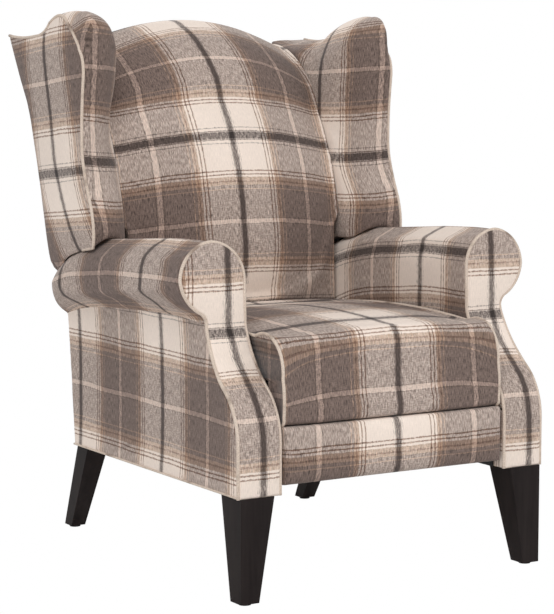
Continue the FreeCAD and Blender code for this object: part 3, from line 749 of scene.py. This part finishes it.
def arm_section(d):
    """Section points (x, z) at a depth."""
    drop = float(eased(d, *zip(*DROP)))
    inset = float(eased(d, *zip(*INSET)))
    top, roll, under = ARM_TOP - drop, ARM_ROLL - 0.7 * drop, ARM_UNDER - 0.6 * drop
    outer, edge, inner = ARM_OUT - inset, ARM_EDGE - inset / 6, ARM_IN + inset / 4
    c = ARM_COUNT
    return path((BOARD_OUT, LEG_TOP), ((edge, LEG_TOP), c[0]), ((edge, under), c[1]),
                ((outer - 9, (under + roll) / 2 - 6), (outer, roll), c[2]),
                ((outer - 18, top - 22), (ARM_TOP_X, top), c[3]),
                ((inner + 22, top - 19), (inner, roll), c[4]),
                ((inner, RAIL_TOP), c[5]), ((BOARD_OUT, RAIL_TOP), c[6]), ((BOARD_OUT, LEG_TOP), c[7]))[:-1]


def facing_section():
    """The front of the arm with the same stretches, drawn in to a waist under the scroll."""
    c = ARM_COUNT
    foot = path((BOARD_OUT, LEG_TOP), ((ARM_EDGE, LEG_TOP), c[0]))
    low = path((ARM_EDGE, LEG_TOP), ((ARM_EDGE, 390), 20), ((326, 444), ARM_WAIST, 10))
    scroll = path(ARM_WAIST, ((328, 497), SCROLL_FOOT, 4), ((362, 527), (ARM_OUT, ARM_ROLL), c[2] - 4),
                  ((357, 607), (ARM_TOP_X, ARM_TOP), c[3]), ((267, 610), (ARM_IN, ARM_ROLL), c[4]),
                  ((ARM_IN, RAIL_TOP), c[5]), ((BOARD_OUT, RAIL_TOP), c[6]), ((BOARD_OUT, LEG_TOP), c[7]))
    return np.concatenate([foot[:-1], low, scroll[1:-1]])


ARM_DEPTHS = np.linspace(-30, ARM_END, 367)
ARM_TABLE = np.stack([arm_section(d) for d in ARM_DEPTHS])


def arm_height(x, d):
    """Height of the arm's upper side at a place; beside the roll, the height of the roll's middle."""
    row = ARM_TABLE[int(np.argmin(np.abs(ARM_DEPTHS - d)))][ARM_LAST[2]:ARM_LAST[4] + 1]
    return float(np.interp(-x, -row[:, 0], row[:, 1]))


# Wings

WING_IN = 259.0
WING_OUT = 357.0
WING_MIDDLE = np.array([690.0, 840.0])
WING_EAR = np.array([550.0, 1036.0])
WING_INWARD = (WING_MIDDLE - WING_EAR) / np.linalg.norm(WING_MIDDLE - WING_EAR)
EAR_DRAWN = 52.0
EAR_REACH = 62.0
WING_OUTLINE = path(
    (508, 624), ((506, 658), (521, 694), 8), ((546, 745), (552, 800), 12), ((549, 868), (541, 930), 14),
    ((540, 965), (541, 1000), 8), ((550, 1036), (584, 1046), 10), ((645, 1045), (695, 1028), 10),
    ((722, 1010), (760, 1002), 6), ((830, 999), (889, 1004), 12), ((862, 944), (825, 870), 14),
    ((790, 760), (750, 655), 20), ((727, 608), (700, 573), 9), ((688, 562), 2), ((600, 603), 10),
    ((508, 624), 10))[:-1]
# The part of the outline that rests on the arm, and the gap left there
WING_LOW = ((480, 630), (508, 624), (600, 603), (688, 562), (700, 573))
ARM_GAP = 2.5
# Numbers of outline points: end of the front, upper and lower rear corners, the start again
WING_TOP, WING_CORNER, WING_HEEL, WING_END = 42, 80, 125, 145
WING_STEPS = np.arange(WING_END + 1)
WING_FRONT = WING_OUTLINE[:WING_TOP + 1]
# The inner side is rounded off at the front and the ear, hardly at the rear
WING_ROUND = np.interp(WING_STEPS[:-1], (0, 60, 70, WING_CORNER, WING_HEEL, 135, WING_END),
                       (1, 1, 0.3, 0.1, 0.1, 1, 1))
# How the check turns round the rim, in three pieces with seams at the rear corners: first, last, u, v
WING_TURN = ((0, WING_CORNER, np.interp(WING_STEPS, (46, 58), (0.72, 0)),
              np.interp(WING_STEPS, (46, 58), (-0.09, 0.75))),
             (WING_CORNER, WING_HEEL, -1.0, 0.0), (WING_HEEL, WING_END, 0.0, -0.75))
# By height, how far the outer side's rear edge is drawn in and where its dark line runs
WING_REAR_TUCK = ((550, 30), (617, 26), (675, 22), (754, 27), (834, 27), (914, 14), (1004, 3))
WING_DARK = ((560, 545), (605, 581), (652, 615), (699, 641), (757, 663), (816, 675), (874, 687), (943, 704),
             (1010, 716))
# Dark lines across the outer side, and both ways on the inner side
WING_DARK_Z = 733.0
WING_INNER_DARK = (665.0, 752.0)
# Rings over the rim: x, how far drawn in, whether the inner side's check covers it, how firmly held
WING_RIM = ((356.5, 6, False, 0.5), (354, 3, False, 1), (348, 0, True, 1), (339, 0.6, True, 0.4),
            (330, 2.4, True, 0), (320, 5.5, True, 0), (310, 9.5, True, 0), (301, 14.5, True, 0),
            (293, 20.5, True, 0), (286, 28, True, 0), (279, 38, True, 0), (272, 51, True, 0),
            (265.5, 68, True, 0))
WING_WELT = 9
Ring = namedtuple("Ring", "x inset inner held outline")


def wing_outline(inset, keep=1.0):
    """The outline drawn in by inset and shrunk towards its middle."""
    away = WING_OUTLINE - WING_MIDDLE
    far = np.linalg.norm(away, axis=1, keepdims=True)
    return WING_MIDDLE + away * (1 - inset * WING_ROUND[:, None] / far) * keep


def wing_rings():
    """Rings from the middle of the outer side over the rim to the middle of the inner side."""
    rings = [Ring(WING_OUT - 0.5 + 1.5 * (1 - keep), 6.0, False, 0.0, wing_outline(6.0, keep))
             for keep in (0.03, 0.16, 0.32, 0.48, 0.64, 0.78, 0.88, 0.95)]
    rings += [Ring(x, inset, inner, held, wing_outline(inset)) for x, inset, inner, held in WING_RIM]
    rings += [Ring(WING_IN + 2.0 - 1.5 * (1 - keep), 82.0, True, 0.0, wing_outline(82.0, keep))
              for keep in (0.97, 0.88, 0.76, 0.62, 0.48, 0.32, 0.16, 0.03)]
    return rings


def settle(q, ring, share):
    """Draws a point in at the ear and the outer side's rear edge, and seats the lower edge on the arm."""
    to_ear = np.linalg.norm(q[1:] - WING_EAR)
    q[1:] += EAR_DRAWN * smooth(343, 356, ring.x) * math.exp(-(to_ear / EAR_REACH) ** 2) * WING_INWARD
    q[1] -= smooth(336, 357, ring.x) * np.interp(q[2], *zip(*WING_REAR_TUCK)) * smooth(620, 700, q[1])
    low = np.interp(q[1], *zip(*WING_LOW)) + 0.9 * share * ring.inset
    rests_at = arm_height(ring.x, min(q[1], ARM_END)) + ARM_GAP
    q[2] += (1 - smooth(low, low + 130, q[2])) * np.clip(rests_at - low, -112, 12)


def wing_uvs(x, d, z):
    outer = grid(d - np.interp(z, *zip(*WING_DARK)), (z - WING_DARK_Z) + 0.09 * (d - 640))
    lead = np.interp(z, WING_FRONT[:, 1], WING_FRONT[:, 0]) - 545
    level = d - lead * (1 - smooth(570, 690, d))
    depth = x - WING_IN
    inner = [grid(WING_INNER_DARK[0] - level + u * depth, z - WING_INNER_DARK[1] + v * depth)
             for a, b, u, v in WING_TURN]
    return outer, inner


def wing(side):
    name = NAME[side]
    rings = wing_rings()
    xyz = np.stack([grid(ring.x, *ring.outline.T) for ring in rings])
    for row, ring in zip(xyz, rings):
        for q, share in zip(row, WING_ROUND):
            settle(q, ring, share)
    p = Panel()
    ids = p.add(xyz, np.stack([np.full(WING_END, float(ring.held)) for ring in rings]))
    ids = np.concatenate([ids, ids[:, :1]], 1)
    outer, inner = wing_uvs(*np.moveaxis(np.concatenate([xyz, xyz[:, :1]], 1), -1, 0))
    for i in range(len(rings) - 1):
        for (a, b, u, v), turned in zip(WING_TURN, inner):
            flat = turned if rings[i + 1].inner else outer
            p.quads(ids[i:i + 2, a:b + 1], flat[i:i + 2, a:b + 1])
    for i, flat, flip in ((0, outer, True), (-1, inner[1], False)):
        p.cap(ids[i, :-1], xyz[i][:, 1:], flat[i], flip)
    ob = p.mesh(f"wing_{name}_upholstery", side)
    puff(ob, p.held, 3.0, 0.006)
    finish_soft(ob, "back", f"wing_{name}")
    # The welt runs from just under the front to the upper rear corner
    welt = np.roll(xyz[WING_WELT] + [1.0, 0, 0], 5, axis=0)[:WING_CORNER + 6]
    tube(f"piping_wing_{name}", welt, PIPING, "back", side)


for side in NAME:
    wing(side)


# Arms, facings and the cloth on the side rails

ARM_PIPING = 3.1
SIDE_DARK = 288.0
ROLL_DARK = 289.0
SIDE_PALE_Z = 318.0
FACING_DARK = {-1: 281.0, 1: 300.0}
FACING_DARK_Z = 467.0
# Inner front corner and size, across and along, of the cloth round a rail's rear end
RAIL_END_AT = np.array([245.6, 640.0])
RAIL_END_SIZE = np.array([40.8, 50.0])


def arm(side):
    name = NAME[side]
    at_front = facing_section()
    n = len(at_front)
    front = sweep(at_front[:, 1]) + FACE_FRONT
    t = np.concatenate([np.linspace(0, 0.16, 9)[:-1], np.linspace(0.16, 0.84, 37)[:-1],
                        np.linspace(0.84, 1, 15)])
    # The rear end depends on the height there, which droops with depth: a few turns settle it
    rear = np.full(n, 690.0)
    for turn in range(4):
        z_rear = [np.interp(rear[i], ARM_DEPTHS, ARM_TABLE[:, i, 1]) for i in range(n)]
        rear = np.minimum(np.interp(z_rear, *zip(*ARM_REAR)), ARM_END)
    d = front + (rear - front) * t[:, None]
    x, z = (np.stack([np.interp(d[:, i], ARM_DEPTHS, ARM_TABLE[:, i, axis]) for i in range(n)], 1)
            for axis in (0, 1))
    near = 1 - smooth(0, 90, d - front)
    x += near * (at_front[:, 0] - ARM_TABLE[0, :, 0])
    z += near * (at_front[:, 1] - ARM_TABLE[0, :, 1])
    # Behind the arm board the pad reaches in to the rail
    beside = (x > BOARD_OUT - 0.5) & (x < BOARD_OUT + 1) & (z < RAIL_TOP + 0.5)
    x -= 16 * beside * smooth(645.5, 652, d)
    c = ARM_LAST
    row = np.arange(n)
    held = np.zeros(d.shape)
    held[:, (row <= c[0]) | (row >= c[4] + 14)] = 1
    held[:, c[1]] = 1
    held[[0, -1]] = 1
    p = Panel()
    ids = p.add(grid(x, d, z), held)
    ids = np.concatenate([ids, ids[:, :1]], 1)
    # Side panel by height; roll and inner side along the section from the widest line of the roll
    over = np.stack([lengths(np.column_stack(section)) for section in zip(x, z)])
    over = over - over[:, c[2]:c[2] + 1]
    pull = 45 * smooth(c[2] - 2, c[1], row) * (row <= c[2])
    roll_uv = grid(d - ROLL_DARK + pull, over + WEFT_HALF)
    side_uv = grid(d - SIDE_DARK, z - SIDE_PALE_Z + WEFT_HALF)
    side_uv = np.concatenate([side_uv, side_uv[:, :1]], 1)
    p.quads(ids[:, :c[1] + 1], side_uv[:, :c[1] + 1])
    p.quads(ids[:, c[1]:c[5] + 1], roll_uv[:, c[1]:c[5] + 1])
    p.quads(ids[:, c[5]:], side_uv[:, c[5]:])
    p.cap(ids[0, :-1], np.column_stack([x[0], z[0]]), side_uv[0], True)
    # The rear end shows a plain part of the check
    end_uv = np.column_stack([380 + 0.05 * (ARM_EDGE - x[-1]), z[-1] - SIDE_PALE_Z + WEFT_HALF])
    p.cap(ids[-1, :-1], np.column_stack([x[-1], z[-1]]), end_uv, False)
    ob = p.mesh(f"arm_{name}_upholstery", side)
    puff(ob, p.held, 3.0, 0.006)
    finish_soft(ob, "base", f"arm_pad_{name}")
    hem = grid(ARM_EDGE - 0.5, np.linspace(2, rear[c[0]] - 2, 40), LEG_TOP + 2.0)
    tube(f"hem_arm_{name}", hem, HEM, "base", side)


def finish_rail_sheet(ob):
    ob.data.materials.append(CHECK)
    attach(ob, "base")


def rail_end(side):
    """Cloth round the rear end of a side rail and over its top."""
    inner, front = RAIL_END_AT
    outer, rear = RAIL_END_AT + RAIL_END_SIZE
    plan = path((inner, rear), ((outer - 2.4, rear), 7), ((outer, rear), (outer, rear - 2.4), 4),
                ((outer, front), 8))
    # Height of each row and how far it is drawn in over the top
    rows = [(h, 0.0) for h in np.linspace(LEG_TOP + 0.5, RAIL_TOP - 0.5, 12)]
    rows += [(301.0, 0.8), (301.6, 4.0), (301.6, 18.0), (301.6, 36.0)]

    def wrapped(thick):
        layers = []
        for h, drawn in rows:
            x, d = (RAIL_END_AT + (plan - RAIL_END_AT) * (RAIL_END_SIZE - drawn - thick) / RAIL_END_SIZE).T
            layers.append(grid(x, d, h - (thick if drawn else 0)))
        return np.stack(layers)[:, ::-1]

    up = np.array([h + drawn for h, drawn in rows]) - SIDE_PALE_Z + WEFT_HALF
    p = slab(wrapped(0.0), wrapped(1.2), grid(486 - lengths(plan), up[:, None])[:, ::-1])
    ob = p.mesh(f"rail_end_cloth_{NAME[side]}", side)
    finish_rail_sheet(ob)


def facing(side):
    name = NAME[side]
    outline = facing_section()
    c = ARM_LAST
    out = outline[c[0]:c[3] + 1]
    inn = np.concatenate([[[ARM_IN, LEG_TOP]], outline[c[3]:c[5] + 1][::-1]])
    waist, scroll = ARM_WAIST[1], SCROLL_FOOT[1]
    zs = np.concatenate([np.linspace(LEG_TOP, waist, 34)[:-1], np.linspace(waist, scroll, 8)[:-1],
                         np.linspace(scroll, ARM_ROLL, 12)[:-1],
                         ARM_ROLL + (ARM_TOP - ARM_ROLL) * np.sin(np.radians(np.linspace(0, 83, 13)))])
    x0 = np.interp(zs, inn[:, 1], inn[:, 0])[:, None]
    x1 = np.interp(zs, out[:, 1], out[:, 0])[:, None]
    x = x0 + (x1 - x0) * (0.5 + 0.5 * crowded(19, 1.25))
    z = zs[:, None]
    edge = np.minimum(np.minimum(x - x0, x1 - x), ARM_TOP + 0.5 - z)
    front = grid(x, sweep(z) + rounded(edge, 6.0), z)
    rear = grid(x, sweep(z) + FACE_FRONT + 1.5, z)
    p = slab(front, rear, grid(x - FACING_DARK[side], sweep_length(z) - sweep_length(FACING_DARK_Z)))
    ob = p.mesh(f"arm_{name}_front_upholstery", side)
    puff(ob, p.held, 2.5, 0.004)
    finish_soft(ob, "base", f"arm_facing_{name}")
    ring = np.concatenate([outline[c[0]:c[5] + 1], [[ARM_IN, 240], [ARM_IN, LEG_TOP]]])
    fine = [line(a, b, max(1, int(np.hypot(*(b - a)) / 6))) for a, b in zip(ring, ring[1:])]
    ring = np.concatenate([ring[:1]] + fine)
    welt = grid(ring[:, 0], sweep(ring[:, 1]) + 4.0, ring[:, 1])
    tube(f"piping_arm_{name}", welt, ARM_PIPING, "base", side)
    tube(f"hem_front_{name}", grid(np.linspace(ARM_IN, ARM_EDGE, 14), 3.5, LEG_TOP + 2.0), HEM, "base", side)


def rail_front(side):
    """The facing's cloth, turned in over the rail beside the footrest."""
    d, z = np.meshgrid(np.linspace(4, 33, 5)[::-1], np.linspace(191, 299, 12))
    uv = grid(ARM_IN - FACING_DARK[side] - d, sweep_length(z) - sweep_length(FACING_DARK_Z))
    ob = slab(grid(243.2, d, z), grid(244.7, d, z), uv).mesh(f"rail_cloth_{NAME[side]}", side)
    finish_rail_sheet(ob)


for side in NAME:
    arm(side)
    rail_end(side)
    facing(side)
    rail_front(side)


# Outside back and the base's rear panel

def outside_back():
    up = np.concatenate([np.linspace(5, 244, 18), np.linspace(248, 560, 24)])[:, None]
    w = crowded(33, 1.3)[::-1]
    # Narrow between the arms, wide between the wings
    x = np.where(up < 246, 237.0, 257.5) * w
    crown = 2.5 * (1 - w ** 4)
    d, z = on_back(up, 45.5)
    far = grid(x, d + crown * math.cos(LEAN), z - crown * math.sin(LEAN))
    p = slab(far, grid(x, *on_back(up, 36.3)), grid(x - BACK_DARK_X, up - 420))
    finish_soft(p.mesh("outside_back_cover"), "back", "outside_back")


def rear_panel():
    z = np.linspace(190.5, 419.5, 20)[:, None]
    w = crowded(33, 1.3)[::-1]
    # Between the side rails, then between the arms
    x = np.where(z < 303, 247.4, 250.5) * w
    far = grid(x, 699.5 + 2.0 * (1 - w ** 4), z)
    p = slab(far, grid(x, 688.3, z), grid(x, z - SIDE_PALE_Z + WEFT_HALF))
    finish_soft(p.mesh("rear_panel_cover"), "base", "rear_panel")


outside_back()
rear_panel()


# Studio: a floor and a sky that the camera sees as white, three soft lamps and the photo's camera

FLOOR_HALF = 9
SKY_LIGHT = 0.56

floor_mesh = bpy.data.meshes.new("floor")
floor_corners = [(x * FLOOR_HALF, y * FLOOR_HALF, 0) for x, y in ((-1, -1), (1, -1), (1, 1), (-1, 1))]
floor_mesh.from_pydata(floor_corners, [], [(0, 1, 2, 3)])
floor = bpy.data.objects.new("floor", floor_mesh)
scene.collection.objects.link(floor)
m = Nodes("studio_floor")
seen = m.node("ShaderNodeLightPath").outputs["Is Camera Ray"]
white = m.node("ShaderNodeEmission")
white.inputs["Strength"].default_value = 1.0
m.shader.inputs["Base Color"].default_value = (0.86, 0.86, 0.86, 1)
m.shader.inputs["Roughness"].default_value = 0.8
choose = m.node("ShaderNodeMixShader")
m.link(seen, choose.inputs[0])
m.link(m.shader.outputs[0], choose.inputs[1])
m.link(white.outputs[0], choose.inputs[2])
m.link(choose.outputs[0], m.tree.nodes["Material Output"].inputs["Surface"])
floor_mesh.materials.append(m.material)

world = bpy.data.worlds.new("studio")
scene.world = world
world.use_nodes = True
tree = world.node_tree
sky = tree.nodes["Background"]
sky.inputs["Color"].default_value = (1, 1, 1, 1)
sky.inputs["Strength"].default_value = SKY_LIGHT
plain = tree.nodes.new("ShaderNodeBackground")
plain.inputs["Strength"].default_value = 1.0
plain.inputs["Color"].default_value = (1, 1, 1, 1)
ray = tree.nodes.new("ShaderNodeLightPath")
pick = tree.nodes.new("ShaderNodeMixShader")
tree.links.new(ray.outputs["Is Camera Ray"], pick.inputs[0])
tree.links.new(sky.outputs[0], pick.inputs[1])
tree.links.new(plain.outputs[0], pick.inputs[2])
tree.links.new(pick.outputs[0], tree.nodes["World Output"].inputs["Surface"])


def aimed(name, data, where, target):
    """A lamp or camera at one place, turned to look at another."""
    ob = bpy.data.objects.new(name, data)
    ob.location = where
    ob.rotation_euler = (Vector(target) - Vector(where)).to_track_quat("-Z", "Y").to_euler()
    scene.collection.objects.link(ob)
    return ob


def softbox(name, where, target, size, power):
    lamp = bpy.data.lights.new(name, "AREA")
    lamp.shape = "DISK"
    lamp.size = size
    lamp.energy = power
    aimed(name, lamp, where, target)


softbox("key", (-2.2, -2.6, 3.2), (0, 0, 0.5), 2.4, 76)
softbox("fill", (2.6, -2.4, 1.8), (0, 0, 0.5), 2.6, 26)
softbox("rear", (0.5, 3.2, 2.6), (0, 0, 0.6), 2.4, 40)

camera = bpy.data.cameras.new("camera")
camera.lens = 121.83
camera.sensor_width = 36.0
camera.clip_start = 0.05
camera.clip_end = 60
scene.camera = aimed("camera", camera, (-2.10792, -3.49845, 0.90813), (-0.002, -0.028, 0.470))
